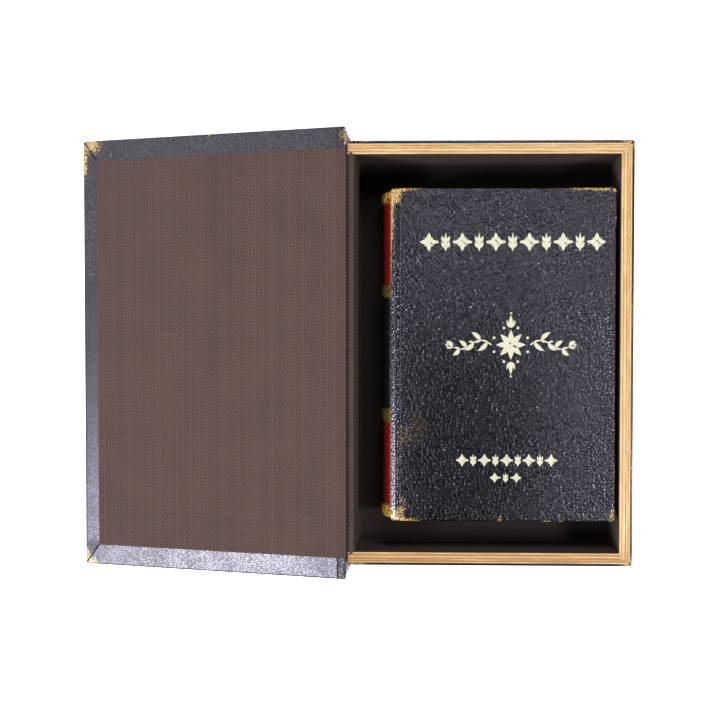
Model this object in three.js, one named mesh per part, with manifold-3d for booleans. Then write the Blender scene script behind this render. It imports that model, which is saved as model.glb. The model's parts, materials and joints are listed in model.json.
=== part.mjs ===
// A nesting pair of book boxes for papers and keepsakes. Each is made like an old book: a cover
// on a creased leather joint, a rounded spine with raised bands, and a tray whose three outer
// walls are dressed as gilt page edges. The large box lies open, its cover folded right back
// until the fore edge rests on the table, and the small one lies closed in its tray.
// Millimetres, +X from the spine to the fore edge, +Y to the head of the book, +Z up.
// The origin is in the middle of the large box's underside.
import * as THREE from 'three';
import { mergeVertices } from 'three/addons/utils/BufferGeometryUtils.js';
import Module from 'manifold-3d';

// Sheet stock that both boxes are made from
const leather = 0.7;
const fabric = 0.5;
const lining = 0.4;
const paper = 0.5;
const floorBoard = 1.2;
const glue = 0.2;

// Fits that both boxes share
const closedGap = 0.3;
const creaseOut = 1.5;
const spineOut = 1.15;
const edgeRound = 0.9;
const turnRound = 0.4;
const coverCorner = 1.4;
const fabricTurn = 15;
const liningDrop = 1.2;

// Spine: where its parts sit, and how its leather is tooled
const leafDrop = 2.3;
const coreInset = 2.2;
const spineTurnIn = 14;
const spineEndEase = 0.8;
const bandPlaces = [0.303, 0.683];

// Page lines pressed into the gilt paper
const pageLineDepth = 0.22;
const pageLineHalfWidth = 0.3;
const rimLinePlaces = [0.2, 0.45, 0.78];
const rimEase = 0.3;

// The large box
const large = {
  name: 'large',
  boardLength: 270,
  boardThickness: 2.8,
  coverReach: 178.75,
  rimHeight: 55,
  headSquare: 10,
  foreSquare: 8.65,
  rimWidth: 6.3,
  hingeWall: 4,
  joint: 4.4,
  jointRidge: 1.6,
  jointGroove: 0.9,
  spineSquare: 1.5,
  spineEdge: 1.6,
  spineRound: 6.75,
  bandHeight: 1.6,
  bandWidth: 10.5,
  headTurnIn: 12.6,
  foreTurnIn: 9.7,
  pageCorner: 2.4,
  pagePitch: 3.6,
};

// The small box, made the same way. Its length, depth and height follow from the large tray that
// it lies in and from the room that is left round it.
const small = {
  name: 'small',
  boardThickness: 2.4,
  headSquare: 8,
  foreSquare: 7,
  rimWidth: 5.2,
  hingeWall: 3.4,
  joint: 5,
  jointRidge: 1.8,
  jointGroove: 1.5,
  spineSquare: 1.2,
  spineEdge: 1.6,
  spineRound: 4.8,
  bandHeight: 1.3,
  bandWidth: 8,
  headTurnIn: 9.5,
  foreTurnIn: 7.5,
  pageCorner: 2,
  pagePitch: 2.9,
};

// The room round the small box in the large tray
const nestForeGap = 2.3;
const nestSpineGap = 13.95;
const nestEndGap = 18.95;
const nestTopGap = 4;
const nestShift = -0.6;

// How finely curves are faceted
const curveSteps = 5;
const spineSteps = 14;
const cornerSteps = 4;

const finishes = {
  darkLeather: { color: 0x3d3c43, roughness: 0.45, metalness: 0 },
  spineLeather: { color: 0x6e2114, roughness: 0.45, metalness: 0 },
  wovenFabric: { color: 0x60504a, roughness: 0.9, metalness: 0 },
  darkLining: { color: 0x1c1716, roughness: 0.9, metalness: 0 },
  giltPaper: { color: 0xddb87a, roughness: 0.5, metalness: 0.2 },
  greyBoard: { color: 0x8b8378, roughness: 0.9, metalness: 0 },
};

const wasm = await Module();
wasm.setup();

// A rectangular block between two limits on each axis, given in either order
function block(x, y, z) {
  const [low, high] = [0, 1].map((end) => [x, y, z].map((pair) => [Math.min(...pair), Math.max(...pair)][end]));
  const sides = high.map((limit, axis) => limit - low[axis]);
  const centre = high.map((limit, axis) => (limit + low[axis]) / 2);
  return new THREE.BoxGeometry(...sides).translate(...centre);
}

// An outline in the X-Z plane, drawn out along Y to both sides of the middle
function drawnAlongY(outline, length) {
  const geometry = new THREE.ExtrudeGeometry(new THREE.Shape(outline), { depth: length, bevelEnabled: false });
  return geometry.rotateX(Math.PI / 2).translate(0, length / 2, 0);
}

// An outline in the X-Y plane, raised between two heights
function raised(outline, low, high) {
  const geometry = new THREE.ExtrudeGeometry(new THREE.Shape(outline), { depth: high - low, bevelEnabled: false });
  return geometry.translate(0, 0, low);
}

// Six times the volume that a closed mesh holds, negative where its faces point inwards
function signedVolume(points, faces) {
  const at = (index) => new THREE.Vector3().fromArray(points, index * 3);
  return faces.reduce((sum, [a, b, c]) => sum + at(a).dot(at(b).cross(at(c))), 0);
}

// A closed solid through a row of rings, all with one outline's order of points
function lofted(rings, outline) {
  const count = outline.length;
  const faces = [];
  for (let row = 0; row + 1 < rings.length; row += 1) {
    for (let index = 0; index < count; index += 1) {
      const a = row * count + index;
      const b = row * count + (index + 1) % count;
      faces.push([a, b, b + count], [a, b + count, a + count]);
    }
  }
  const last = (rings.length - 1) * count;
  const clockwise = THREE.ShapeUtils.isClockWise(outline);
  for (const face of THREE.ShapeUtils.triangulateShape(outline, [])) {
    const [a, b, c] = clockwise ? face.toReversed() : face;
    faces.push([a, c, b], [last + a, last + b, last + c]);
  }
  const rough = new THREE.BufferGeometry();
  rough.setAttribute('position', new THREE.Float32BufferAttribute(rings.flat(2), 3));
  rough.setIndex(faces.flat());
  const merged = mergeVertices(rough);
  const points = merged.attributes.position.array;
  const kept = [];
  for (let start = 0; start < merged.index.count; start += 3) {
    const face = [0, 1, 2].map((corner) => merged.index.getX(start + corner));
    if (new Set(face).size === 3) kept.push(face);
  }
  const outward = signedVolume(points, kept) > 0;
  merged.setIndex(kept.flatMap(([a, b, c]) => (outward ? [a, b, c] : [a, c, b])));
  return merged;
}

// A solid with others cut out of it
function carved(body, ...cuts) {
  const asManifold = (geometry) => {
    const bare = geometry.clone();
    bare.deleteAttribute('normal');
    bare.deleteAttribute('uv');
    const merged = mergeVertices(bare);
    return new wasm.Manifold(new wasm.Mesh({
      numProp: 3,
      vertProperties: Float32Array.from(merged.attributes.position.array),
      triVerts: Uint32Array.from(merged.index.array),
    }));
  };
  const result = cuts.reduce((solid, cut) => solid.subtract(asManifold(cut)), asManifold(body)).getMesh();
  const geometry = new THREE.BufferGeometry();
  geometry.setAttribute('position', new THREE.BufferAttribute(result.vertProperties, 3));
  geometry.setIndex(new THREE.BufferAttribute(result.triVerts, 1));
  return geometry;
}

// A named piece with its finish, flat shaded
function piece(name, geometry, finish) {
  const shown = geometry.index ? geometry.toNonIndexed() : geometry;
  shown.computeVertexNormals();
  const mesh = new THREE.Mesh(shown, new THREE.MeshStandardMaterial(finishes[finish]));
  mesh.name = name;
  return mesh;
}

// A cover's thickness over its board and both leathers
function thicknessOver(board) {
  return board + 2 * (leather + glue);
}

// How far a spine's bands stand out from the tray
function spineReach(size) {
  return spineOut + size.spineEdge + size.spineRound + size.bandHeight;
}

// The sizes of a box that lies inside another one's tray
function fittedIn(outer, size) {
  const depth = outer.trayDepth - outer.rimWidth - outer.linedFrom - nestForeGap - nestSpineGap;
  const seat = outer.floorTop + closedGap;
  return {
    ...size,
    boardLength: 2 * (outer.halfTray - outer.rimWidth - nestEndGap),
    coverReach: depth - spineReach(size) + creaseOut,
    rimHeight: outer.rimHeight - nestTopGap - seat - closedGap - thicknessOver(size.boardThickness),
  };
}

// Everything that follows from one box's sizes. The tray's spine side is X = 0 and the table Z = 0.
function worked(size) {
  const coverThickness = thicknessOver(size.boardThickness);
  const bead = (leather + fabric + glue) / 2;
  const outer = coverThickness - bead;
  const creaseX = -creaseOut;
  const creaseZ = size.rimHeight + closedGap + bead;
  const foreEdge = creaseX + size.coverReach;
  const trayBase = coverThickness + glue;
  const liningBase = trayBase + floorBoard + glue;
  const tipRun = size.coverReach - edgeRound;
  const tipRise = outer - edgeRound;
  const slope = Math.asin((creaseZ - edgeRound) / Math.hypot(tipRun, tipRise)) - Math.atan2(tipRise, tipRun);
  return {
    ...size,
    coverThickness,
    bead,
    outer,
    creaseX,
    creaseZ,
    foreEdge,
    trayBase,
    liningBase,
    floorTop: liningBase + lining,
    linedFrom: size.hingeWall + glue + lining,
    halfBoard: size.boardLength / 2,
    halfTray: size.boardLength / 2 - size.headSquare,
    trayDepth: foreEdge - size.foreSquare,
    wallOut: paper + glue,
    wallIn: size.rimWidth - lining - glue,
    halfSpine: size.boardLength / 2 - size.spineSquare,
    spineTop: creaseZ - bead - leafDrop,
    spineBase: coverThickness + glue,
    leafTop: creaseZ - bead - closedGap,
    openAngle: Math.PI + slope,
  };
}

// How far a quarter round of a radius has turned in, so far past its start
function roundedOff(radius, past) {
  return radius - Math.sqrt(radius ** 2 - Math.max(0, past) ** 2);
}

// A cover's section at one place along it, drawn from its crease at 0, 0: the creased joint with
// its pressed ridge and groove, then the board. It draws in over the rounded edges and corners at
// head and tail. Side is 1 for a cover whose outer face is up, and -1 for one facing down.
function coverOutline(box, side, place) {
  const toEnd = box.halfBoard - Math.abs(place);
  const drawnIn = roundedOff(edgeRound, edgeRound - toEnd);
  const bead = box.bead - (drawnIn * turnRound) / edgeRound;
  const outer = box.outer - drawnIn;
  const reach = box.coverReach - drawnIn - roundedOff(coverCorner, coverCorner - toEnd);
  const path = new THREE.Path();
  const ridgeStart = box.bead + closedGap;
  const ridgeEnd = box.joint - box.jointGroove;
  const ridgeWidth = ridgeEnd - ridgeStart;
  const ridgePull = bead + (box.jointRidge - box.bead) / 0.75;
  path.moveTo(0, -bead);
  path.absarc(0, 0, bead, -Math.PI / 2, Math.PI / 2, true);
  path.lineTo(ridgeStart, bead);
  path.bezierCurveTo(
    ridgeStart + ridgeWidth / 4, ridgePull,
    ridgeEnd - ridgeWidth / 4, ridgePull,
    ridgeEnd, bead,
  );
  path.lineTo(box.joint, bead);
  path.absarc(box.joint + edgeRound, outer - edgeRound, edgeRound, Math.PI, Math.PI / 2, true);
  path.absarc(reach - edgeRound, outer - edgeRound, edgeRound, Math.PI / 2, 0, true);
  path.absarc(reach - turnRound, turnRound - bead, turnRound, 0, -Math.PI / 2, true);
  return path.getPoints(curveSteps).map((point) => new THREE.Vector2(point.x, side * point.y));
}

// A cover's whole leather form, through its section at places close together at head and tail
function coverForm(box, side) {
  const places = [];
  for (const end of [-1, 1]) {
    for (let step = 0; step <= cornerSteps; step += 1) {
      const turned = (Math.PI / 2) * (end > 0 ? step : cornerSteps - step) / cornerSteps;
      places.push(end * (box.halfBoard - coverCorner * (1 - Math.sin(turned))));
    }
  }
  const sections = places.map((place) => coverOutline(box, side, place));
  const rings = sections.map((section, row) => section.map((point) => [point.x, places[row], point.y]));
  return lofted(rings, sections[0]);
}

// A cover's board, the leather that wraps it and turns in over its edges, and the lining that
// fills the place between the turn-ins, all drawn from the crease
function coverPieces(box, side) {
  const wrap = leather + glue;
  const inner = -side * box.bead;
  const boardX = [box.joint + wrap, box.coverReach - wrap];
  const boardHalf = box.halfBoard - wrap;
  const boardZ = [inner + side * wrap, inner + side * (wrap + box.boardThickness)];
  const pocketZ = [inner + side * leather, inner + side * (wrap + box.boardThickness + glue)];
  const pocket = block(
    [boardX[0] - glue, boardX[1] + glue],
    [-boardHalf - glue, boardHalf + glue],
    pocketZ,
  );
  const windowX = [box.bead + closedGap, box.coverReach - box.foreTurnIn];
  const windowHalf = box.halfBoard - box.headTurnIn;
  const window = block(windowX, [-windowHalf, windowHalf], [inner - side, inner + side * (leather + glue / 2)]);
  return {
    board: block(boardX, [-boardHalf, boardHalf], boardZ),
    leather: carved(coverForm(box, side), pocket, window),
    lining: block(
      [windowX[0] + glue, windowX[1] - glue],
      [glue - windowHalf, windowHalf - glue],
      [inner, inner + side * fabric],
    ),
  };
}

// The spine's outer curve as seen from the head, from its base (share -1) to its top (share 1)
function spineCurve(box, share, lift) {
  const middle = (box.spineTop + box.spineBase) / 2;
  const half = (box.spineTop - box.spineBase) / 2;
  const out = box.spineEdge + box.spineRound * (1 - share ** 2) + lift * (1 - share ** 4);
  return [-spineOut - out, middle + half * share];
}

// How far the bands lift the leather at one place along the spine
function bandLift(box, bands, place) {
  const shares = bands.map((centre) => Math.min(1, Math.abs(place - centre) / (box.bandWidth / 2)));
  return box.bandHeight * Math.max(...shares.map((share) => 1 - share ** 4));
}

// The spine's rounded moulding. With a grow it is the pocket that the leather leaves for it.
function spineCore(box, grow) {
  const wrap = leather + glue - grow;
  const reach = 1 - (2 * (coreInset - grow)) / (box.spineTop - box.spineBase);
  const outline = [];
  for (let step = 0; step <= spineSteps; step += 1) {
    const [x, z] = spineCurve(box, reach * (1 - (2 * step) / spineSteps), 0);
    outline.push(new THREE.Vector2(x + wrap, z));
  }
  outline.push(new THREE.Vector2(-spineOut - wrap, outline.at(-1).y));
  outline.push(new THREE.Vector2(-spineOut - wrap, outline[0].y));
  return drawnAlongY(outline, 2 * (box.halfSpine - wrap));
}

// The spine's leather: round over the core with its raised bands, up to the crease in a thin
// leaf, and turned in over the core's flat side at head and tail
function spineLeather(box) {
  const bands = [box.halfSpine - box.bandWidth / 2, box.bandWidth / 2 - box.halfSpine];
  bands.push(...bandPlaces.map((share) => box.halfSpine * (1 - 2 * share)));
  const places = [box.halfSpine, -box.halfSpine];
  places.push(box.halfSpine - spineEndEase, spineEndEase - box.halfSpine);
  for (const centre of bands) {
    for (const share of [-1, -0.9, -0.7, -0.4, 0.4, 0.7, 0.9, 1]) {
      places.push(centre + share * box.bandWidth / 2);
    }
  }
  const inside = places.filter((place) => Math.abs(place) <= box.halfSpine + glue / 100);
  const sorted = [...new Set(inside.map((place) => Number(place.toFixed(3))))].sort((a, b) => a - b);
  const ringAt = (place) => {
    const atEnd = Math.abs(place) > box.halfSpine - spineEndEase / 2;
    const lift = bandLift(box, bands, place) - (atEnd ? spineEndEase : 0);
    const section = [
      [-spineOut, box.spineBase],
      [-spineOut, box.leafTop],
      [-spineOut - leather, box.leafTop],
      [-spineOut - leather, box.spineTop],
    ];
    for (let step = 0; step <= spineSteps; step += 1) {
      section.push(spineCurve(box, 1 - (2 * step) / spineSteps, lift));
    }
    return section;
  };
  const rings = sorted.map((place) => ringAt(place).map(([x, z]) => [x, place, z]));
  const outline = ringAt(0).map(([x, z]) => new THREE.Vector2(x, z));
  const windowHalf = box.halfSpine - spineTurnIn;
  const window = block(
    [-spineOut - leather - glue / 2, 0],
    [-windowHalf, windowHalf],
    [box.spineBase + 2 * coreInset, box.spineTop - 2 * coreInset],
  );
  return carved(lofted(rings, outline), spineCore(box, glue), window);
}

// A point of the page block's plan, so far in from its outer face, at one turn of the way
// round it: 0 at the head wall's spine end, then round both corners, to the tail wall's end
function pagePlan(box) {
  const radius = box.pageCorner;
  const way = [(inset) => [0, box.halfTray - inset]];
  for (const end of [1, -1]) {
    for (let step = 0; step <= cornerSteps; step += 1) {
      const turned = (Math.PI / 2) * (step / cornerSteps);
      const angle = end > 0 ? Math.PI / 2 - turned : -turned;
      way.push((inset) => {
        const left = radius - inset;
        const [across, along] = left > 0 ? [Math.cos(angle), Math.sin(angle)] : [1, end];
        return [box.trayDepth - radius + left * across, end * (box.halfTray - radius) + left * along];
      });
    }
  }
  way.push((inset) => [0, inset - box.halfTray]);
  return way;
}

// The gilt paper round the three outer walls and over their rim, pressed with page lines that
// run on round the corners and meet in mitres on the rim
function pagePaper(box) {
  const line = (across, down) => [
    [across[0] - down[0], across[1] - down[1]],
    [across[0] + (across[0] === 0 ? pageLineDepth : 0), across[1] - (across[0] === 0 ? 0 : pageLineDepth)],
    [across[0] + down[0], across[1] + down[1]],
  ];
  const lineCount = Math.floor((box.rimHeight - box.trayBase) / box.pagePitch) - 1;
  const section = [[0, box.trayBase]];
  for (let index = 1; index <= lineCount; index += 1) {
    const drift = 0.2 * Math.sin(2.4 * index);
    section.push(...line([0, box.trayBase + (index + drift) * box.pagePitch], [0, pageLineHalfWidth]));
  }
  section.push([0, box.rimHeight - rimEase], [rimEase, box.rimHeight]);
  for (const place of rimLinePlaces) {
    section.push(...line([place * box.rimWidth, box.rimHeight], [pageLineHalfWidth, 0]));
  }
  section.push([box.rimWidth, box.rimHeight], [box.rimWidth, box.rimHeight - paper]);
  section.push([paper, box.rimHeight - paper], [paper, box.trayBase]);
  const rings = pagePlan(box).map((place) => section.map(([inset, z]) => [...place(inset), z]));
  return lofted(rings, section.map(([inset, z]) => new THREE.Vector2(inset, z)));
}

// The tray's four walls: head and tail run the full depth with a rounded outer corner, and the
// fore edge and spine walls stand between them
function trayWalls(box) {
  const wallTop = box.rimHeight - paper - glue;
  const between = box.halfTray - box.wallIn - glue;
  const outX = box.trayDepth - box.wallOut;
  const radius = box.pageCorner - box.wallOut;
  const endWall = (end) => {
    const plan = new THREE.Path();
    const centreY = box.halfTray - box.pageCorner;
    plan.moveTo(0, box.halfTray - box.wallIn);
    plan.lineTo(0, box.halfTray - box.wallOut);
    plan.absarc(outX - radius, centreY, radius, Math.PI / 2, 0, true);
    plan.lineTo(outX, box.halfTray - box.wallIn);
    const outline = plan.getPoints(cornerSteps).map((point) => new THREE.Vector2(point.x, end * point.y));
    return raised(outline, box.trayBase, wallTop);
  };
  const dip = box.rimHeight - fabric - glue;
  const hingeIn = box.hingeWall - fabric - glue;
  const spineSide = glue - spineOut;
  const spineWall = [
    [spineSide, box.trayBase],
    [spineSide, dip + spineSide - glue],
    [glue, dip],
    [hingeIn, dip],
    [hingeIn, box.trayBase],
  ];
  return {
    head_wall: endWall(1),
    tail_wall: endWall(-1),
    fore_edge_wall: block([box.trayDepth - box.wallIn, outX], [-between, between], [box.trayBase, wallTop]),
    spine_wall: drawnAlongY(spineWall.map(([x, z]) => new THREE.Vector2(x, z)), 2 * between),
  };
}

// The fabric over the spine wall: from the crease, over the wall's top and a little way down
// inside the tray
function hingeLining(box) {
  const top = box.rimHeight;
  const fold = box.creaseX + box.bead + closedGap;
  const outline = [
    [fold, top + fold - fabric],
    [fold, top + fold],
    [0, top],
    [box.hingeWall - fabric, top],
    [box.hingeWall, top - fabric],
    [box.hingeWall, top - fabricTurn],
    [box.hingeWall - fabric, top - fabricTurn],
    [box.hingeWall - fabric, top - fabric],
    [glue, top - fabric],
  ];
  const length = 2 * (box.halfTray - box.rimWidth - glue);
  return drawnAlongY(outline.map(([x, z]) => new THREE.Vector2(x, z)), length);
}

// The tray's bottom board and its dark lining panels
function trayInside(box) {
  const inX = [box.hingeWall + glue, box.trayDepth - box.rimWidth - glue];
  const floorX = [box.linedFrom + glue, inX[1]];
  const inHalf = box.halfTray - box.rimWidth;
  const panelTop = box.rimHeight - paper - glue;
  const panelZ = [box.liningBase, panelTop];
  const foreX = [box.trayDepth - box.rimWidth, box.trayDepth - box.rimWidth + lining];
  const boardHalf = box.halfTray - box.wallIn - glue;
  const boardX = [box.hingeWall - fabric, box.trayDepth - box.wallIn - glue];
  return {
    floor_board: block(boardX, [-boardHalf, boardHalf], [box.trayBase, box.trayBase + floorBoard]),
    floor_lining: block(floorX, [glue - inHalf, inHalf - glue], [box.liningBase, box.floorTop]),
    spine_lining: block(
      [inX[0], box.linedFrom],
      [glue - inHalf, inHalf - glue],
      [box.liningBase, box.rimHeight - liningDrop],
    ),
    head_lining: block(inX, [inHalf, inHalf + lining], panelZ),
    tail_lining: block(inX, [-inHalf - lining, -inHalf], panelZ),
    fore_edge_lining: block(foreX, [-inHalf - lining, inHalf + lining], panelZ),
  };
}

// One whole box, its cover turned open by an angle about the crease
function bookBox(box, open) {
  const group = new THREE.Group();
  const back = coverPieces(box, -1);
  const backCover = new THREE.Group();
  backCover.position.set(box.creaseX, 0, box.outer);
  backCover.add(piece(`${box.name}_back_board`, back.board, 'greyBoard'));
  backCover.add(piece(`${box.name}_back_leather`, back.leather, 'darkLeather'));
  const front = coverPieces(box, 1);
  const frontCover = new THREE.Group();
  frontCover.position.set(box.creaseX, 0, box.creaseZ);
  frontCover.rotation.y = -open;
  frontCover.add(piece(`${box.name}_front_board`, front.board, 'greyBoard'));
  frontCover.add(piece(`${box.name}_front_leather`, front.leather, 'darkLeather'));
  frontCover.add(piece(`${box.name}_cover_lining`, front.lining, 'wovenFabric'));
  group.add(backCover, frontCover);
  group.add(piece(`${box.name}_spine_core`, spineCore(box, 0), 'greyBoard'));
  group.add(piece(`${box.name}_spine_leather`, spineLeather(box), 'spineLeather'));
  for (const [name, geometry] of Object.entries(trayWalls(box))) {
    group.add(piece(`${box.name}_${name}`, geometry, 'greyBoard'));
  }
  group.add(piece(`${box.name}_page_paper`, pagePaper(box), 'giltPaper'));
  group.add(piece(`${box.name}_hinge_lining`, hingeLining(box), 'wovenFabric'));
  for (const [name, geometry] of Object.entries(trayInside(box))) {
    group.add(piece(`${box.name}_${name}`, geometry, name === 'floor_board' ? 'greyBoard' : 'darkLining'));
  }
  return group;
}

const largeBox = worked(large);
const smallBox = worked(fittedIn(largeBox, small));
const pair = new THREE.Group();
const opened = bookBox(largeBox, largeBox.openAngle);
const nested = bookBox(smallBox, 0);
const nestX = largeBox.trayDepth - largeBox.rimWidth - nestForeGap - smallBox.foreEdge;
nested.position.set(nestX, nestShift, largeBox.floorTop + closedGap);
pair.add(opened, nested);
pair.position.x = -(largeBox.creaseX + largeBox.foreEdge) / 2;

const object = new THREE.Group();
object.add(pair);

export default object;
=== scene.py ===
"""A nesting pair of book boxes, seen from above: the large one open, its cover folded right back,
and the small one closed in its tray. Leather-covered boards, woven cloth inside, gilt page edges.
Lengths in the sections are in millimetres, and each mesh is turned into metres as it is made."""

import json
import math

import bpy
import numpy as np
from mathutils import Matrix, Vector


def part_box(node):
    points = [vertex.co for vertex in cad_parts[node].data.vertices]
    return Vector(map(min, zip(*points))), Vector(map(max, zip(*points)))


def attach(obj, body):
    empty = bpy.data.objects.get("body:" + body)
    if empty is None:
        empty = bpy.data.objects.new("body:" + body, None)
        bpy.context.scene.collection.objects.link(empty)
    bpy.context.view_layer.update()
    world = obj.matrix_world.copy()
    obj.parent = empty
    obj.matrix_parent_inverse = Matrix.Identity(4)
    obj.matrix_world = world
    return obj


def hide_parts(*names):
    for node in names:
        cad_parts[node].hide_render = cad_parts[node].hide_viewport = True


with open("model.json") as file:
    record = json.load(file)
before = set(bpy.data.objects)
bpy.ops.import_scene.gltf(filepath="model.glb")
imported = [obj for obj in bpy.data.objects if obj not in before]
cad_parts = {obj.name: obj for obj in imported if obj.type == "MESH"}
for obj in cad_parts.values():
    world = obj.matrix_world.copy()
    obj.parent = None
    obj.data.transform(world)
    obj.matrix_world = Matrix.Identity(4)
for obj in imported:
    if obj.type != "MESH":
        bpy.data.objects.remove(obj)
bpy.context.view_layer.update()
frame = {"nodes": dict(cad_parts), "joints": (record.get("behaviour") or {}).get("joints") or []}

# The studio: a camera 0.8 m above a white table that glows faintly, as a light table does. The key
# light at the lower left is mirrored in the leather's margins, under a weak fill. A small light at
# the right picks out the grain, and a soft one beyond the head lays a sheen on the small cover.
camera_data = bpy.data.cameras.new("camera")
camera_data.sensor_width = 36
camera_data.lens = 63.971
camera_data.shift_x = -0.07007
camera_data.shift_y = 0.045305
camera = bpy.data.objects.new("camera", camera_data)
camera.location = (-0.028249, 0.002017, 0.817597)
camera.rotation_euler = (-0.032611, 0.028891, 0.001406)
bpy.context.scene.collection.objects.link(camera)
bpy.context.scene.camera = camera
bpy.context.scene.view_settings.view_transform = "Standard"


def feed(tree, sockets, inputs):
    """Puts a value or a link into each of some sockets."""
    for key, value in inputs.items():
        if isinstance(value, bpy.types.NodeSocket):
            tree.links.new(value, sockets[key])
        else:
            sockets[key].default_value = value


def new_material(name):
    """A material with its own tree, and the sockets of that tree's plain surface shader."""
    material = bpy.data.materials.new(name)
    material.use_nodes = True
    return material, material.node_tree, material.node_tree.nodes["Principled BSDF"].inputs


table_half = 30.0
table_top = -0.0002
table_ways = ((-1, -1), (1, -1), (1, 1), (-1, 1))
table_corners = [(x * table_half, y * table_half, table_top) for x, y in table_ways]
table_mesh = bpy.data.meshes.new("table")
table_mesh.from_pydata(table_corners, [], [(0, 1, 2, 3)])
table = bpy.data.objects.new("table", table_mesh)
bpy.context.scene.collection.objects.link(table)
table_white, table_tree, table_surface = new_material("table_white")
feed(table_tree, table_surface, {
    "Base Color": (0.9, 0.9, 0.9, 1),
    "Roughness": 0.9,
    "Specular IOR Level": 0.1,
    "Emission Color": (1, 1, 1, 1),
    "Emission Strength": 0.6,
})
table_mesh.materials.append(table_white)

world = bpy.data.worlds.new("studio")
world.use_nodes = True
sky = world.node_tree.nodes["Background"].inputs
feed(world.node_tree, sky, {"Color": (0.93, 0.96, 1.0, 1), "Strength": 0.18})
bpy.context.scene.world = world

soft_lights = {
    "key": ((-0.98, -0.38, 0.9), 0.4, 24.3),
    "fill": ((-1.05, 0.5, 0.88), 0.8, 7.2),
    "grain": ((0.42, -0.16, 0.62), 0.14, 4.6),
    "sheen": ((0.12, 0.62, 0.85), 0.45, 5.5),
}
for light_name, (light_place, light_side, light_power) in soft_lights.items():
    light_data = bpy.data.lights.new(light_name, "AREA")
    light_data.shape = "SQUARE"
    light_data.size = light_side
    light_data.energy = light_power
    light = bpy.data.objects.new(light_name, light_data)
    light.location = light_place
    away = np.array(light_place) / np.linalg.norm(light_place)
    light.rotation_euler = (math.acos(away[2]), 0, math.atan2(away[1], away[0]) + math.pi / 2)
    bpy.context.scene.collection.objects.link(light)


# Greyboard: the stiff boards, walls and spine moulding that everything is glued to. It is pressed
# from waste paper, so it is warm grey with darker fibres, and it shows on no outer side.
def add(tree, kind, inputs, **settings):
    """Adds a node, with its settings and its inputs."""
    node = tree.nodes.new(kind)
    for name, value in settings.items():
        setattr(node, name, value)
    feed(tree, node.inputs, inputs)
    return node


def mixed(tree, share, first, second):
    """A colour between two others, by a share from 0 to 1."""
    node = add(tree, "ShaderNodeMix", {0: share, 6: first, 7: second}, data_type="RGBA")
    return node.outputs[2]


def eased(tree, value, low, high, bottom=0.0, top=1.0):
    """A value that rises smoothly from bottom to top as its input goes from low to high."""
    ends = {"Value": value, "From Min": low, "From Max": high, "To Min": bottom, "To Max": top}
    return add(tree, "ShaderNodeMapRange", ends, interpolation_type="SMOOTHSTEP").outputs[0]


def noise(tree, place, scale, detail, roughness=0.5):
    """A cloudy value about 0.5 that varies over a place, with finer clouds laid on it."""
    inputs = {"Vector": place, "Scale": scale, "Detail": detail, "Roughness": roughness}
    return add(tree, "ShaderNodeTexNoise", inputs).outputs[0]


def bumped(tree, height, strength, distance):
    """The normal of a surface whose height goes up to a distance in millimetres."""
    inputs = {"Height": height, "Strength": strength, "Distance": distance / 1000}
    return add(tree, "ShaderNodeBump", inputs).outputs[0]


def object_place(tree):
    """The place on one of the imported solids, in metres."""
    return add(tree, "ShaderNodeTexCoord", {}).outputs["Object"]


def greyboard_material():
    """Warm grey board in blotches of two tones, with darker fibres that stand up a little."""
    material, tree, surface = new_material("greyboard")
    place = object_place(tree)
    fibre = noise(tree, place, 900, 5)
    blotches = noise(tree, place, 60, 2)
    grey = mixed(tree, blotches, (0.2, 0.17, 0.13, 1), (0.3, 0.26, 0.21, 1))
    feed(tree, surface, {
        "Base Color": mixed(tree, eased(tree, fibre, 0.3, 0.7), (0.13, 0.1, 0.08, 1), grey),
        "Roughness": 0.92,
        "Normal": bumped(tree, fibre, 0.5, 0.15),
    })
    return material


def finish_solid(node_name, material):
    """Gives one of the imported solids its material."""
    frame["nodes"][node_name].data.materials.clear()
    frame["nodes"][node_name].data.materials.append(material)


board_nodes = (
    "back_board", "front_board", "spine_core", "floor_board",
    "head_wall", "tail_wall", "fore_edge_wall", "spine_wall",
)
greyboard = greyboard_material()
for box_name in ("large", "small"):
    for board_name in board_nodes:
        finish_solid(f"{box_name}_{board_name}", greyboard)


# Cover leather: dark blue-black leatherette with a fine pebble grain, drawn over each cover's
# board, pressed into the joint beside the spine, and turned in over the edges with mitred
# corners. It is sold as antique, rubbed through to gold and cream at edges, corners and joint.
covers = {
    "large": {
        "half": 135.0, "reach": 178.75, "outer": 3.9, "joint": 4.4, "lip": 0.9, "ridge": 2.2,
        "crest": 2.3, "floor": 2.05, "nose": 0.7, "head_turn_in": 12.6, "fore_turn_in": 9.7,
    },
    "small": {
        "half": 99.75, "reach": 134.1, "outer": 3.5, "joint": 4.7, "lip": 1.15, "ridge": 2.25,
        "crest": 2.6, "floor": 2.12, "nose": 0.3, "head_turn_in": 9.5, "fore_turn_in": 7.5,
    },
}
bead = 0.7
edge_round = 0.9
shoulder_run = 2.4
turn_round = 0.4
cover_corner = 1.9
joint_corner = 1.6
joint_thinning = 0.55
fore_draw = 0.6
fore_draw_span = (-8, -1)
joint_draw_span = (0.5, 5)
climb_start = 0.1
climb_power = 1.05
line_gap = 1.3
row_gap = 1.6
seam_fade = (1, 4)
under_tray = {"large": 4.6, "small": 4.2}


def points_at(first, second):
    """Points of two coordinates, each of which is an array or the same for all."""
    return np.column_stack(np.broadcast_arrays(first, second))


def arc(centre, radius, start, stop, steps):
    """Points round a centre, centre + radius (cos t, sin t), as t goes from start to stop degrees."""
    turn = np.radians(np.linspace(start, stop, steps))
    return np.array(centre) + radius * points_at(np.cos(turn), np.sin(turn))


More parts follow.
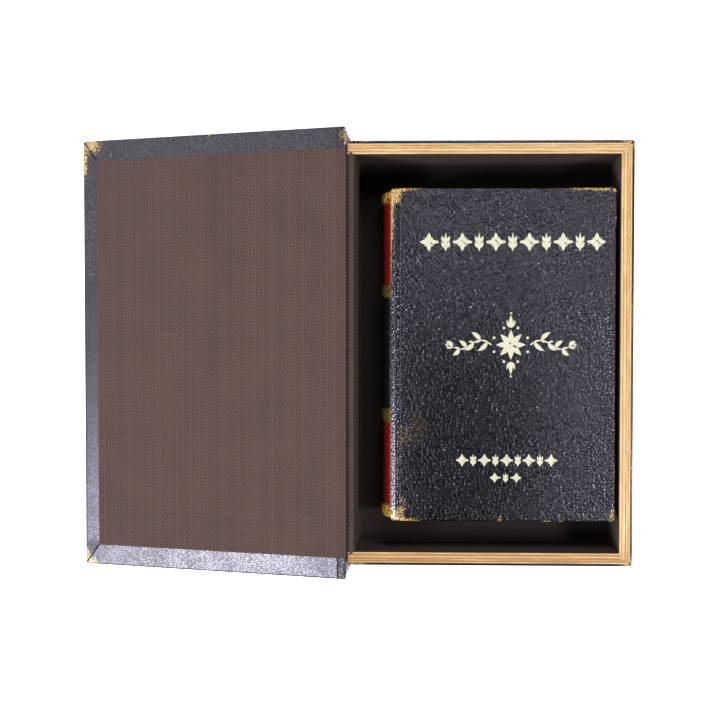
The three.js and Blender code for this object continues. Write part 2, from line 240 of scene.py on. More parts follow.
def cover_section(cover):
    """The cover cut across, in (u, v): u from the crease to the fore edge, v outwards. A half
    round bead on the crease, squeezed to a nose on its outer side, a ridge that climbs by t^1.05
    from a lip to its crest and dips by half a cosine wave to the joint's floor, the shoulder that
    climbs from there by 3t^2 - 2t^3 to the board's face, and the flat inner face to the bead."""
    outer, joint, reach = cover["outer"], cover["joint"], cover["reach"]
    climb = np.linspace(climb_start, cover["crest"], 9)
    climbed = (climb / cover["crest"]) ** climb_power
    climb_height = cover["lip"] + (cover["ridge"] - cover["lip"]) * climbed
    dip = np.linspace(0, 1, 6)[1:]
    dip_place = cover["crest"] + dip * (joint - shoulder_run / 2 - cover["crest"])
    dip_height = cover["floor"] + (cover["ridge"] - cover["floor"]) * (1 + np.cos(np.pi * dip)) / 2
    step = np.linspace(0, 1, 12)[1:]
    step_place = joint + shoulder_run * (step - 0.5)
    step_height = cover["floor"] + (outer - cover["floor"]) * smooth_step(step, 0, 1)
    face = np.linspace(joint + shoulder_run / 2, reach - edge_round, int(reach / line_gap))
    inner = np.linspace(reach - turn_round, 0.2, int(reach / line_gap))
    return np.concatenate([
        arc((0, 0), bead, -90, -270, 9) * [cover["nose"] / bead, 1],
        points_at(climb, climb_height),
        points_at(dip_place, dip_height),
        points_at(step_place, step_height),
        points_at(face, outer)[1:-1],
        arc((reach - edge_round, outer - edge_round), edge_round, 90, 0, 7),
        arc((reach - turn_round, turn_round - bead), turn_round, 0, -90, 5),
        points_at(inner, -bead)[1:],
    ])


def stations(half, ease, spacing):
    """Places along a piece from tail to head, close together in the last few millimetres."""
    near = ease * (1 - np.sin(np.radians(np.linspace(90, 0, 9))))
    end = np.concatenate([near, ease + np.geomspace(0.4, 8.0, 7)])
    middle = np.linspace(end[-1] - half, half - end[-1], int(2 * half / spacing))
    return np.concatenate([end - half, middle[1:-1], (half - end)[::-1]])


def rounded(radius, past):
    """How far a quarter round has turned in, radius - sqrt(radius^2 - past^2), past its start."""
    return radius - np.sqrt(np.maximum(radius**2 - np.clip(past, 0, radius) ** 2, 0))


def smooth_step(value, low, high):
    """0 below low, 1 above high, and 3t^2 - 2t^3 between."""
    share = np.clip((value - low) / (high - low), 0, 1)
    return share * share * (3 - 2 * share)


def grid(x, y, z):
    """Rows and columns of points, from coordinates that vary by row, by column, by both or not."""
    return np.stack(np.broadcast_arrays(x, y, z), axis=2)


def cover_rings(cover):
    """The section carried along the spine's direction y. Near head and tail it shrinks towards
    its own middle by a quarter round, and its two ends draw in round the board's corners."""
    section = cover_section(cover)
    along = stations(cover["half"], cover_corner, row_gap)
    to_end = cover["half"] - np.abs(along)[:, None]
    u, v = section.T
    drawn = rounded(edge_round, edge_round - to_end)
    on_board = smooth_step(u, cover["joint"] - 0.5, cover["joint"] + 1.0)
    middle = (cover["outer"] - bead) / 2 * on_board
    thinning = joint_thinning + (1 - joint_thinning) * on_board
    v = middle + (v - middle) * (1 - drawn / (bead + middle) * thinning)
    fore_in = rounded(cover_corner, cover_corner - to_end) + drawn * fore_draw
    joint_in = rounded(joint_corner, joint_corner - to_end)
    u = u - fore_in * smooth_step(u - cover["reach"], *fore_draw_span)
    u = u + joint_in * (1 - smooth_step(u, *joint_draw_span))
    return grid(u, along[:, None], v)


def new_piece(name, points, faces, marks):
    """A mesh object, with each array of marks as an attribute of its points: a vector each where the
    array is rows x columns x 3, else a value each."""
    mesh = bpy.data.meshes.new(name)
    mesh.from_pydata(points.tolist(), [], faces)
    for label, values in marks.items():
        kind, key = ("FLOAT_VECTOR", "vector") if values.ndim == 3 else ("FLOAT", "value")
        mesh.attributes.new(label, kind, "POINT").data.foreach_set(key, values.reshape(-1))
    piece = bpy.data.objects.new(name, mesh)
    bpy.context.scene.collection.objects.link(piece)
    return piece


def skin(name, rings, place, marks):
    """A closed surface through rings of points, an array of rows x columns x 3. Each row is a
    loop, its neighbours are joined by quads and the two end rows are filled. place moves the
    points to the shared frame, in metres. marks go with the points as attributes."""
    rows, columns = rings.shape[:2]
    points = place(rings.reshape(-1, 3))
    start, column = np.meshgrid(np.arange(rows - 1) * columns, np.arange(columns), indexing="ij")
    after = (column + 1) % columns
    corners = [start + column, start + after, start + columns + after, start + columns + column]
    quads = np.stack(corners, axis=2).reshape(-1, 4)
    ends = [list(range(columns))[::-1], list(range((rows - 1) * columns, rows * columns))]
    faces = quads.tolist() + ends
    corner = (points - points.mean(axis=0))[quads]
    crossed = np.cross(corner[:, 1], corner[:, 2]) + np.cross(corner[:, 2], corner[:, 3])
    if np.sum(corner[:, 0] * crossed) < 0:
        faces = [face[::-1] for face in faces]
    piece = new_piece(name, points, faces, marks)
    piece.data.shade_smooth()
    piece.data.set_sharp_from_angle(angle=math.radians(50))
    return piece


def joint_named(name):
    """A joint of the record, with the crease's place in metres and its range in degrees."""
    return next(joint for joint in frame["joints"] if joint["name"] == name)


def laid(origin, turn=0.0, side=1):
    """Puts points (u, y, v) in millimetres at an origin in metres: u along +X, turned up and over
    by an angle, and v upwards, or downwards where side is -1."""
    across = np.array([math.cos(turn), 0, math.sin(turn)])
    outward = side * np.array([-math.sin(turn), 0, math.cos(turn)])

    def place(points):
        flat = points / 1000
        return origin + flat[:, :1] * across + flat[:, 1:2] * [0, 1, 0] + flat[:, 2:] * outward

    return place


large_crease = np.array(joint_named("large_cover_hinge")["pos_m"])
small_crease = np.array(joint_named("small_cover_hinge")["pos_m"])
large_open = math.radians(joint_named("large_cover_hinge")["range_deg"][1])
small_base = np.array(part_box("small_back_leather")[0])[2]
under_crease = {
    "large": large_crease * [1, 1, 0] + [0, 0, (under_tray["large"] - bead) / 1000],
    "small": small_crease * [1, 1, 0] + [0, 0, (under_tray["small"] - bead) / 1000 + small_base],
}
cover_places = {
    "large_front": laid(large_crease, turn=large_open),
    "large_back": laid(under_crease["large"], side=-1),
    "small_front": laid(small_crease),
    "small_back": laid(under_crease["small"], side=-1),
}


def seams(cover, rings):
    """How far each point is across the nearest seam, in mm and with a sign, and how near it is to
    one from 0 to 1. The seams are the mitre where the turn-ins meet at a corner, and at head and
    tail the line where the joint meets the board's edge, all on the inner side."""
    across = cover["reach"] - rings[..., 0]
    inward = cover["half"] - np.abs(rings[..., 1])
    slant = math.hypot(cover["fore_turn_in"], cover["head_turn_in"])
    mitre = (across * cover["head_turn_in"] - inward * cover["fore_turn_in"]) / slant
    beside = rings[..., 0] - cover["joint"]
    way = np.where(across < cover["reach"] / 2, mitre, beside)
    reaches = ((inward, "head_turn_in"), (across, "fore_turn_in"), (rings[..., 0], "joint"))
    at_end, at_corner, at_joint = [
        1 - smooth_step(distance - cover[width], *seam_fade) for distance, width in reaches
    ]
    near = at_end * np.maximum(at_corner, at_joint) * smooth_step(-rings[..., 2], 0.0, bead)
    return way, near


# How flat the leather is pressed: the span is a share of the half length, from head to foot.
pressed_flat = {"turn_in_end": 0.4, "joint": 0.1, "polish": 0.55, "polished": (-0.1, 0.75)}


def flattened(cover, rings):
    """How flat the grain is pressed, from 0 to 1: fully on the turn-ins, but for their ends at the
    joint, and in part over the joint's outer side, which handling has polished at the tail."""
    joint = 1 - smooth_step(rings[..., 0], cover["joint"] - 1.5, cover["joint"] + 0.5)
    towards_tail = smooth_step(-rings[..., 1] / cover["half"], *pressed_flat["polished"])
    turned_in = smooth_step(-rings[..., 2], 0.0, bead) * (1 - pressed_flat["turn_in_end"] * joint)
    on_joint = joint * (pressed_flat["joint"] + pressed_flat["polish"] * towards_tail)
    return np.maximum(turned_in, on_joint)


# Where shade is painted on the covers' outer side, darkest towards the foot: spans along the spine are
# shares of the half length, from -1 at the head to 1 at the foot. It fades over a share of the reach, and
# is thinner within near_joint mm of the joint.
painted_shade_spans = {
    "deepens": (-0.8, 0.5), "near_joint": 22, "at_joint": 0.6, "fades": (0.4, 0.92),
    "on_joint": 0.35, "polish": 0.95, "polished": (0.05, 0.6),
}


def painted_shade_and_polish(cover, rings):
    """How much shade is painted on the outer side, up to 1: it darkens and dulls the leather towards the
    foot as painted shade, less near the joint and least towards the fore edge. On the joint it goes below 0
    towards the foot, where handling has polished it."""
    u, y, v = rings[..., 0], rings[..., 1], rings[..., 2]
    down = smooth_step(-y / cover["half"], *painted_shade_spans["deepens"])
    off_joint = smooth_step(u, cover["joint"], cover["joint"] + painted_shade_spans["near_joint"])
    across = painted_shade_spans["at_joint"] + (1 - painted_shade_spans["at_joint"]) * off_joint
    across = across * (1 - smooth_step(u / cover["reach"], *painted_shade_spans["fades"]))
    on_face = smooth_step(u, cover["joint"] - 0.5, cover["joint"] + 2) * (v > 0)
    on_joint = (1 - smooth_step(u, cover["joint"] - 2, cover["joint"])) * (v > 0)
    polished = painted_shade_spans["on_joint"] - painted_shade_spans["polish"] * smooth_step(-y / cover["half"], *painted_shade_spans["polished"])
    return down * across * on_face + polished * on_joint


# Where each cover is rubbed through: (u, y, how far it reaches in u, in y, how strongly), with y
# from the middle of the cover to the head. A little is rubbed along every edge too.
edge_rub = 0.3
edge_rub_reach = 0.5
rubbed = {
    "large_front": (
        (172, 131.5, 6.0, 4.5, 1.25), (177.7, 121, 1.5, 9, 1.1), (159, 125.5, 1.2, 1.2, 0.75),
        (89, 134.2, 0.8, 2.6, 1.0), (3.0, 130.5, 3.6, 5, 0.48), (-0.5, 128, 0.6, 8, 0.95),
        (174.5, -133, 4.6, 3.6, 1.3), (178, -128.5, 1.8, 4.5, 1.0), (2.5, -130, 3.5, 5, 0.3),
        (174, 75, 7, 45, 0.3),
    ),
    "large_back": (
        (177, 134, 6, 5, 1.0), (177, -134, 6, 6, 1.0), (150, 134.7, 16, 1.2, 0.7),
        (8, 134.6, 9, 1.5, 0.75), (3, -134, 6, 3, 0.8), (178.4, 30, 1.2, 20, 0.6),
        (178.4, -70, 1.2, 16, 0.6),
    ),
    "small_front": (
        (2.2, 95.8, 3.8, 5.2, 1.35), (8, 99.6, 9, 1.6, 1.1), (-0.1, 82, 1.3, 12, 1.35),
        (-0.4, 62, 0.7, 22, 1.15), (121, 99.5, 15, 1.8, 0.95), (133.6, 98.8, 1.6, 1.6, 0.8),
        (134, 82, 0.8, 3.6, 0.7), (1.6, -97, 3.2, 4.5, 1.25), (8.5, -99.4, 8, 1.6, 1.15),
        (6.5, -91, 3, 7, 0.62), (6.5, -51, 4, 9, 0.3), (16, -42, 9, 17, 0.3),
        (65.5, -98.4, 0.9, 2.4, 1.0), (93, -99.8, 3.5, 0.8, 0.9), (102, -99.8, 1.5, 0.8, 0.9),
        (132.5, -96, 2.6, 5, 0.6), (134, -70, 0.7, 14, 0.4),
    ),
    "small_back": (
        (4, 98, 9, 4, 1.0), (4, -98, 9, 4, 1.0), (133, 98, 5, 4, 0.9), (133, -98, 4, 5, 0.9),
        (70, -99.6, 12, 1.2, 0.7),
    ),
}


def rubbing(cover, rings, patches):
    """How rubbed each point is: the sum of strength * exp(-(du/ru)^2 - (dy/ry)^2) over the
    patches, plus a little along every edge."""
    u, y = rings[..., 0], rings[..., 1]
    rub = np.zeros_like(u)
    for place_u, place_y, reach_u, reach_y, strength in patches:
        rub += strength * np.exp(-(((u - place_u) / reach_u) ** 2) - ((y - place_y) / reach_y) ** 2)
    edge = np.minimum(cover["half"] - np.abs(y), cover["reach"] - u)
    return rub + edge_rub * np.exp(-np.maximum(edge, 0) / edge_rub_reach)


def new_group(name, vectors, values, results):
    """An empty shader group, with vectors and values going in and values coming out."""
    group = bpy.data.node_groups.new(name, "ShaderNodeTree")
    for label in vectors:
        group.interface.new_socket(label, in_out="INPUT", socket_type="NodeSocketVector")
    for label in values:
        group.interface.new_socket(label, in_out="INPUT", socket_type="NodeSocketFloat")
    for label in results:
        group.interface.new_socket(label, in_out="OUTPUT", socket_type="NodeSocketFloat")
    return group, group.nodes.new("NodeGroupInput").outputs, group.nodes.new("NodeGroupOutput").inputs


def use_group(tree, group, inputs):
    """A group placed in a material, with its inputs set or linked."""
    return add(tree, "ShaderNodeGroup", inputs, node_tree=group).outputs


def mark(tree, name, kind="Fac"):
    """What the mesh carries at each point under a name."""
    return add(tree, "ShaderNodeAttribute", {}, attribute_name=name).outputs[kind]


def maths(tree, operation, *values):
    """One sum of a shader: the result of an operation on one to three values."""
    return add(tree, "ShaderNodeMath", dict(enumerate(values)), operation=operation).outputs[0]


def times(tree, first, second):
    """Two values multiplied."""
    return maths(tree, "MULTIPLY", first, second)


def vector_maths(tree, operation, *values):
    """The same for vectors, axis by axis."""
    return add(tree, "ShaderNodeVectorMath", dict(enumerate(values)), operation=operation).outputs[0]


def bent(tree, place, scale, size):
    """A place moved about by slow clouds, so that what is drawn there is uneven."""
    clouds = add(tree, "ShaderNodeTexNoise", {"Vector": place, "Scale": scale, "Detail": 2})
    shift = vector_maths(tree, "MULTIPLY", clouds.outputs["Color"], (size, size, size))
    return vector_maths(tree, "ADD", place, shift)


# The grain's heights and depths are in mm. Each pebble has the least share of its height or more, by
# up to the spread.
pebbles_per_mm = 0.62
pebble_height = 0.31
pebble_fall = 1.6
least_pebble = 0.7
pebble_spread = 0.5
shoulder_height = 0.017
pore_depth = 0.01
pressed_pore_depth = 0.022
seam_depth = 0.14
pressed_in_part = 0.6


def leather_grain():
    """Pebbles are domes, 1 - fall d^2 of the distance d to the nearest cell centre, each of its own
    height, with a shoulder along the creases where they meet. Where the leather is pressed flat, as
    on the turn-ins, only the shoulders and pores are left."""
    tree, given, result = new_group("leather_grain", ["Place"], ["Pressed"], ["Height", "Crease", "Cloud"])
    uneven_place = bent(tree, given["Place"], 0.5, 1.1)
    cell = {"Vector": uneven_place, "Scale": pebbles_per_mm, "Randomness": 0.85}
    centre = add(tree, "ShaderNodeTexVoronoi", cell, feature="F1").outputs
    border = add(tree, "ShaderNodeTexVoronoi", cell, feature="DISTANCE_TO_EDGE").outputs["Distance"]
    random = add(tree, "ShaderNodeSeparateColor", {0: centre["Color"]}).outputs[0]
    dome = maths(tree, "MULTIPLY_ADD", maths(tree, "POWER", centre["Distance"], 2.0), -pebble_fall, 1.0)
    uneven = times(tree, dome, maths(tree, "MULTIPLY_ADD", random, pebble_spread, least_pebble))
    free = maths(tree, "SUBTRACT", 1.0, given["Pressed"])
    pebbles = times(tree, times(tree, uneven, pebble_height), free)
    shoulder = times(tree, eased(tree, border, 0.0, 0.15), shoulder_height)
    deeper = pressed_pore_depth - pore_depth
    pitted = maths(tree, "MULTIPLY_ADD", given["Pressed"], deeper, pore_depth)
    pores = times(tree, noise(tree, given["Place"], 2.2, 3), pitted)
    feed(tree, result, {
        "Height": maths(tree, "ADD", pebbles, maths(tree, "ADD", shoulder, pores)),
        "Crease": eased(tree, border, 0.03, 0.24),
        "Cloud": noise(tree, given["Place"], 0.06, 3),
    })
    return tree


raggedness = 1.7
high_grain_first = 0.6


def rubbed_through():
    """Rubbing breaks out on the high grain first, in ragged patches with specks round them: the
    patches vary about a half and the specks about nothing, both by how ragged they are."""
    given_values, results = ["Amount", "Grain"], ["Mask", "Stain", "Tone"]
    tree, given, result = new_group("rubbed_through", ["Place"], given_values, results)
    specks = noise(tree, given["Place"], 1.3, 4)
    patches = noise(tree, given["Place"], 0.35, 6)
    ragged = maths(tree, "MULTIPLY_ADD", patches, raggedness, 0.5 - raggedness / 2)
    broken = maths(tree, "ADD", ragged, maths(tree, "MULTIPLY_ADD", specks, raggedness, -raggedness / 2))
    on_high = maths(tree, "MULTIPLY_ADD", given["Grain"], high_grain_first, broken)
    amount = times(tree, given["Amount"], on_high)
    mask, stain = eased(tree, amount, 0.34, 0.9), eased(tree, amount, 0.12, 0.6)
    feed(tree, result, {"Mask": mask, "Stain": stain, "Tone": specks})
    return tree


grain_group = leather_grain()
rub_group = rubbed_through()


def worn_tone(tree, tone, crease, gilt):
    """The colour under rubbed leather: olive to gold to cream by tone, darker in the creases."""
    dull = mixed(tree, eased(tree, tone, 0.3, 0.45), gilt["olive"], gilt["gold"])
    worn = mixed(tree, eased(tree, tone, 0.5, 0.62), dull, gilt["cream"])
    return mixed(tree, eased(tree, crease, 0.0, 0.6, 0.4, 0.0), worn, gilt["olive"])


# How strong the painted shade and the stain are. The roughness is between least and most, and each place
# adds its own. Creases and pebbles mirror by different amounts, and the painted shade takes a share off
# both.
painted_shade_strength = 0.85
stain_strength = 0.55
roughness = {"least": 0.22, "most": 0.28, "crease": 0.06, "pressed": 0.06, "beside": 0.13, "seam": 0.5}
mirrors = {"crease": 0.22, "pebble": 0.55, "pressed": 0.38, "in_painted_shade": -0.5}


def leather_material(name, dark, light, seam_black, gilt):
    """Pebbled leatherette: a dark colour in the creases, partly its finish and partly painted shade,
    and where shade is painted, a lighter one on the pebbles, gold and cream where it is rubbed
    through, and half gloss that is duller in the creases and seams, beside each mitre and under the painted
    shade."""
    material, tree, surface = new_material(name)
    place = mark(tree, "book", "Vector")
    seam_way, near_seam = mark(tree, "seam"), mark(tree, "near_seam")
    pressed, darkened = mark(tree, "pressed"), mark(tree, "painted_shade_and_polish")
    grain = use_group(tree, grain_group, {"Place": place, "Pressed": pressed})
    crease = grain["Crease"]
    wear = {"Place": place, "Amount": mark(tree, "rubbed"), "Grain": crease}
    rub = use_group(tree, rub_group, wear)
    seam = times(tree, near_seam, eased(tree, maths(tree, "ABSOLUTE", seam_way), 0.2, 0.6, 1.0, 0.0))
    beside = times(tree, near_seam, eased(tree, seam_way, -0.2, 0.2, 1.0, 0.0))
    # Darker in the creases: partly the leather's finish, partly painted shade between the pebbles.
    pebbles = mixed(tree, crease, dark, light)
    clouded = mixed(tree, eased(tree, grain["Cloud"], 0.3, 0.75, 0.0, 0.5), pebbles, dark)
    # Painted shade: the colour darkens towards the foot, by the mark read above.
    dyed = mixed(tree, times(tree, darkened, painted_shade_strength), clouded, dark)
    stained = mixed(tree, times(tree, rub["Stain"], stain_strength), dyed, gilt["stain"])
    whole = mixed(tree, rub["Mask"], stained, worn_tone(tree, rub["Tone"], crease, gilt))
    even = eased(tree, grain["Cloud"], 0.3, 0.7, roughness["least"], roughness["most"])
    in_crease = times(tree, pressed, eased(tree, crease, 0.0, 0.4, roughness["crease"], 0.0))
    creased = maths(tree, "ADD", even, in_crease)
    flattened_too = maths(tree, "MULTIPLY_ADD", pressed, roughness["pressed"], creased)
    dulled = maths(tree, "MULTIPLY_ADD", beside, roughness["beside"], flattened_too)
    glossy = eased(tree, crease, 0.0, 0.6, mirrors["crease"], mirrors["pebble"])
    mirroring = times(tree, glossy, maths(tree, "MULTIPLY_ADD", darkened, mirrors["in_painted_shade"], 1.0))
    flat_mirroring = times(tree, pressed, mirrors["pressed"])
    height = maths(tree, "MULTIPLY_ADD", seam, -seam_depth, grain["Height"])
    feed(tree, surface, {
        "Base Color": mixed(tree, seam, whole, seam_black),
        "Roughness": maths(tree, "MULTIPLY_ADD", seam, roughness["seam"], dulled),
        "Specular IOR Level": maths(tree, "MAXIMUM", mirroring, flat_mirroring),
        "Specular Tint": (0.86, 0.83, 1.0, 1),
        "Normal": bumped(tree, height, 1.0, 1.0),
    })
    return material


worn_gilt = {
    "stain": (0.13, 0.085, 0.03, 1),
    "olive": (0.15, 0.094, 0.019, 1),
    "gold": (0.37, 0.235, 0.05, 1),
    "cream": (0.44, 0.345, 0.17, 1),
}
cover_leather = leather_material(
    "cover_leather",
    dark=(0.0006, 0.0006, 0.0008, 1),
    light=(0.009, 0.0088, 0.0125, 1),
    seam_black=(0.004, 0.004, 0.006, 1),
    gilt=worn_gilt,
)
for cover_name, cover_place in cover_places.items():
    box_name, cover_side = cover_name.split("_")
    cover = covers[box_name]
    rings = cover_rings(cover)
    seam_way, near_seam = seams(cover, rings)
    marks = {
        "book": rings,
        "rubbed": rubbing(cover, rings, rubbed[cover_name]),
        "seam": seam_way,
        "near_seam": near_seam,
        "pressed": flattened(cover, rings),
        # Painted shade towards the foot, and the joint's polish.
        "painted_shade_and_polish": painted_shade_and_polish(cover, rings),
    }
    cover_piece = skin(f"{cover_name}_leather_skin", rings, cover_place, marks)
    cover_piece.data.materials.append(cover_leather)
    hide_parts(f"{box_name}_{cover_side}_leather")
    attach(cover_piece, f"{box_name}_cover" if cover_side == "front" else f"{box_name}_tray")


# Spine leather: the same leatherette round a moulded spine, painted red and black between
# raised gilt bands. It runs up to the crease in a thin leaf and is turned in at head and tail.
spines = {
    "large": {
        "half": 133.5, "top": 53.0, "base": 4.8, "leaf_top": 54.25, "edge": 1.6, "round": 6.75,
        "band": 1.6, "band_width": 10.5, "end_wear": 0.35,
    },
    "small": {
        "half": 98.55, "top": 37.6, "base": 4.4, "leaf_top": 38.85, "edge": 1.6, "round": 4.8,
        "band": 1.3, "band_width": 8.0, "end_wear": 0.75,
    },
}
spine_inner = 1.15
leaf = 0.7
band_places = (0.303, 0.683)
end_ease = 0.8
tail_wear = 1.25
worn_reach = 8.0
worn_all_over = 0.05


def spine_rings(spine):
    """The spine in (x, y, z) from the tray's outer face: outwards it reaches edge + round (1 - q^2)
    with q from -1 to 1 over its height, and each band adds a swell (1 - s^3)(1 - q^4), where s is
    how far from the band's middle, as a share of its half width."""
    half, width = spine["half"], spine["band_width"]
    centres = np.array([half - width / 2, width / 2 - half, *(half * (1 - 2 * np.array(band_places)))])
    close = (centres[:, None] + width / 2 * np.sin(np.radians(np.linspace(-90, 90, 15)))).ravel()
    ends = half - end_ease * (1 - np.sin(np.radians(np.linspace(0, 90, 7))))
    places = np.unique(np.round(np.concatenate([close, ends, -ends, np.linspace(-half, half, 70)]), 3))
    places = places[np.abs(places) <= half + 1e-6]
    share = np.min(np.abs(places[:, None] - centres) / (width / 2), axis=1)
    lift = spine["band"] * (1 - np.clip(share, 0, 1) ** 3)
    drawn = rounded(end_ease, end_ease - (half - np.abs(places)))
    q = np.linspace(1, -1, 41)
    middle, tall = (spine["top"] + spine["base"]) / 2, (spine["top"] - spine["base"]) / 2
    out = spine["edge"] + spine["round"] * (1 - q**2)
    out = out[None, :] + lift[:, None] * (1 - q**4)[None, :] - drawn[:, None]
    arc_x = -spine_inner - out
    arc_z = np.broadcast_to(middle + tall * q, arc_x.shape)
    flat = np.array([
        (-spine_inner, spine["base"]),
        (-spine_inner, spine["leaf_top"]),
        (-spine_inner - leaf, spine["leaf_top"]),
        (-spine_inner - leaf, spine["top"] + 0.3),
    ])
    flat = np.broadcast_to(flat, (len(places), 4, 2))
    x = np.concatenate([flat[..., 0], arc_x], axis=1)
    z = np.concatenate([flat[..., 1], arc_z], axis=1)
    return grid(x, places[:, None], z)


def painted(tree, share, stops):
    """A colour from a share of the length, held from each stop to the next."""
    node = add(tree, "ShaderNodeValToRGB", {0: share})
    node.color_ramp.interpolation = "CONSTANT"
    while len(node.color_ramp.elements) < len(stops):
        node.color_ramp.elements.new(1.0)
    for element, (position, colour) in zip(node.color_ramp.elements, stops):
        element.position = position
        element.color = colour
    return node.outputs[0]


spine_red = (0.13, 0.0015, 0.0006, 1)
spine_black = (0.002, 0.002, 0.002, 1)
spine_crease = (0.004, 0.003, 0.003, 1)
# The gilt bands are coloured dull and dark as painted shade.
shaded_spine_gilt = (0.077, 0.056, 0.011, 1)
spine_paint = (
    (0.0, spine_red),
    (0.284, shaded_spine_gilt),
    (0.322, spine_black),
    (0.662, shaded_spine_gilt),
    (0.705, spine_red),
)
paint_waver = 0.003
gilt_metal = 0.3
spine_worn_gilt = {
    "olive": (0.09, 0.06, 0.01, 1),
    "gold": (0.32, 0.2, 0.02, 1),
    "cream": (0.53, 0.36, 0.06, 1),
}


def spine_material():
    """Painted leather, darker in its creases and rubbed through to gold at the ends. The edges of
    the paint waver by 0.3% of the length, and the gilt, darkened as painted shade, is slightly metallic."""
    material, tree, surface = new_material("spine_leather")
    place = mark(tree, "book", "Vector")
    grain = use_group(tree, grain_group, {"Place": place, "Pressed": pressed_in_part})
    crease = grain["Crease"]
    shift = maths(tree, "MULTIPLY_ADD", noise(tree, place, 0.5, 4), 2 * paint_waver, -paint_waver)
    share = maths(tree, "ADD", mark(tree, "down_spine"), shift)
    gilded = [(start, (float(colour == shaded_spine_gilt),) * 3 + (1,)) for start, colour in spine_paint]
    paint = painted(tree, share, spine_paint)
    darkened = mixed(tree, eased(tree, crease, 0.0, 0.8, 0.6, 0.0), paint, spine_crease)
    wear = {"Place": place, "Amount": mark(tree, "rubbed"), "Grain": crease}
    rub = use_group(tree, rub_group, wear)
    worn = worn_tone(tree, rub["Tone"], crease, spine_worn_gilt)
    feed(tree, surface, {
        "Base Color": mixed(tree, rub["Mask"], darkened, worn),
        "Roughness": eased(tree, grain["Cloud"], 0.3, 0.7, 0.3, 0.4),
        "Metallic": times(tree, painted(tree, share, gilded), gilt_metal),
        "Specular IOR Level": 0.2,
        "Normal": bumped(tree, grain["Height"], 1.0, 1.0),
    })
    return material


spine_leather = spine_material()
crease_out = 1.5
tray_places = {
    "large": laid(large_crease * [1, 1, 0] + [crease_out / 1000, 0, 0]),
    "small": laid(small_crease * [1, 1, 0] + [crease_out / 1000, 0, small_base]),
}
for box_name, spine in spines.items():
    rings = spine_rings(spine)
    to_end = spine["half"] - np.abs(rings[..., 1])
    end_wear = spine["end_wear"] * np.where(rings[..., 1] < 0, tail_wear, 1.0)
    marks = {
        "book": rings,
        "down_spine": (spine["half"] - rings[..., 1]) / (2 * spine["half"]),
        "rubbed": end_wear * np.exp(-((to_end / worn_reach) ** 4)) + worn_all_over,
    }
    spine_piece = skin(f"{box_name}_spine_leather_skin", rings, tray_places[box_name], marks)
    spine_piece.data.materials.append(spine_leather)
    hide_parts(f"{box_name}_spine_leather")
    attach(spine_piece, f"{box_name}_tray")


# Woven cloth: a brown basket weave of round threads. One panel is pasted inside each cover and
# carried round the crease. A strip of the same cloth with its threads turned, coloured darker as painted
# shade, is pressed into the crease and covers the top of the tray's spine wall.
linings = {
    "large": {
        "half": 122.4, "reach": 169.05, "wrap": 150, "hinge_wall": 4.0, "rim": 55.0,
        "strip_half": 118.5, "lip": 1.9,
    },
    "small": {
        "half": 90.25, "reach": 126.6, "wrap": 70, "hinge_wall": 3.4, "rim": 39.6,
        "strip_half": 86.35, "lip": 1.65,
    },
}
cloth_proud = 0.14
cloth_roll = 0.25
cloth_sunk = 0.35
cloth_row_gap = 3.2
cloth_turn = 15.0
cloth_round = 0.6
cloth_slant = 3.0
thread_bend = 0.9
thread_fuzz = 0.25
darkest_thread = 0.35


def axes_of(tree, vector):
    """The three values of a vector."""
    return add(tree, "ShaderNodeSeparateXYZ", {0: vector}).outputs


def basket_weave():
    """Warp and weft threads that lie on top of each other by turns. The one on top stands
    sin(pi s) (1 + sin(pi t)) / 2 high, s across it and t along it over the crossing, and each
    thread has a random number of its own."""
    tree, given, result = new_group("basket_weave", ["Place", "Pitch"], [], ["Height", "Warp", "Thread"])
    threads = vector_maths(tree, "DIVIDE", bent(tree, given["Place"], 0.25, thread_bend), given["Pitch"])
    whole = vector_maths(tree, "FLOOR", threads)
    part = vector_maths(tree, "FRACTION", threads)
    number, within = axes_of(tree, whole), axes_of(tree, part)
    warp, weft = [maths(tree, "SINE", times(tree, within[axis], math.pi)) for axis in (0, 1)]
    warp_high = times(tree, warp, maths(tree, "MULTIPLY_ADD", weft, 0.5, 0.5))
    weft_high = times(tree, weft, maths(tree, "MULTIPLY_ADD", warp, 0.5, 0.5))
    over = maths(tree, "FLOORED_MODULO", maths(tree, "ADD", number[0], number[1]), 2.0)
    height = add(tree, "ShaderNodeMix", {0: over, 2: weft_high, 3: warp_high}, data_type="FLOAT")
    which = add(tree, "ShaderNodeMix", {0: over, 2: number[1], 3: number[0]}, data_type="FLOAT")
    random = add(tree, "ShaderNodeTexWhiteNoise", {"W": which.outputs[0]}, noise_dimensions="1D")
    feed(tree, result, {"Height": height.outputs[0], "Warp": over, "Thread": random.outputs[0]})
    return tree


weave_group = basket_weave()


def cloth_material(name, pitch, warp, weft, gap):
    """Woven cloth: a lighter warp and a darker weft, dark between threads, matt and slightly fuzzy."""
    material, tree, surface = new_material(name)
    place = mark(tree, "cloth", "Vector")
    weave = use_group(tree, weave_group, {"Place": place, "Pitch": pitch})
    fuzz = noise(tree, place, 2.5, 4)
    cloud = noise(tree, place, 0.03, 3)
    threads = mixed(tree, weave["Warp"], weft, warp)
    varied = mixed(tree, times(tree, weave["Thread"], darkest_thread), threads, gap)
    lit = mixed(tree, eased(tree, weave["Height"], 0.15, 0.85), gap, varied)
    fuzzy = mixed(tree, eased(tree, fuzz, 0.35, 0.75, 0.0, 0.2), lit, weft)
    height = maths(tree, "ADD", weave["Height"], times(tree, fuzz, thread_fuzz))
    feed(tree, surface, {
        "Base Color": mixed(tree, eased(tree, cloud, 0.35, 0.7, 0.0, 0.07), fuzzy, warp),
        "Roughness": 0.85,
        "Specular IOR Level": 0.25,
        "Sheen Weight": 0.1,
        "Sheen Roughness": 0.5,
        "Normal": bumped(tree, height, 0.6, 0.4),
    })
    return material


